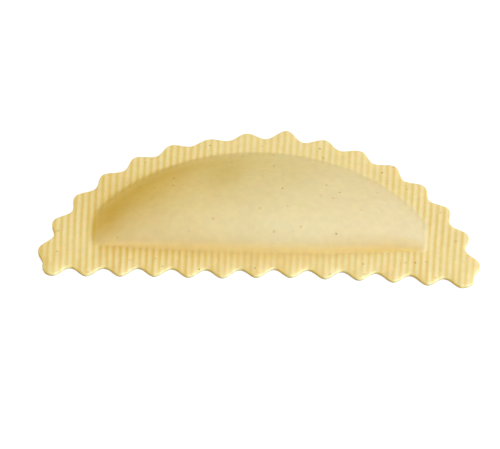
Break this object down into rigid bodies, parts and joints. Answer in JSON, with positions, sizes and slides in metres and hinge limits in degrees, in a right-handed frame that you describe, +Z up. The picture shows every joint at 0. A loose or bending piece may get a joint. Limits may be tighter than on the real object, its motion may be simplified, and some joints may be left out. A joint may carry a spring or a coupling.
{
  "type": "half-moon ravioli",
  "caption": "Half-moon of filled fresh pasta with a wavy cut edge all round, a finely ribbed sealed margin and a smooth raised pocket.",
  "frame": {"origin": "on the flat underside, at the middle of the outline's box", "axes": "+X along the straight edge, +Y from the straight edge to the round edge, +Z up out of the pocket"},
  "size_m": [0.0786, 0.0398, 0.0063],
  "materials": {
    "dough": "matte, dry, slightly translucent raw dough"
  },
  "bodies": {
    "root": {"ravioli": "dough"}
  },
  "joints": []
}
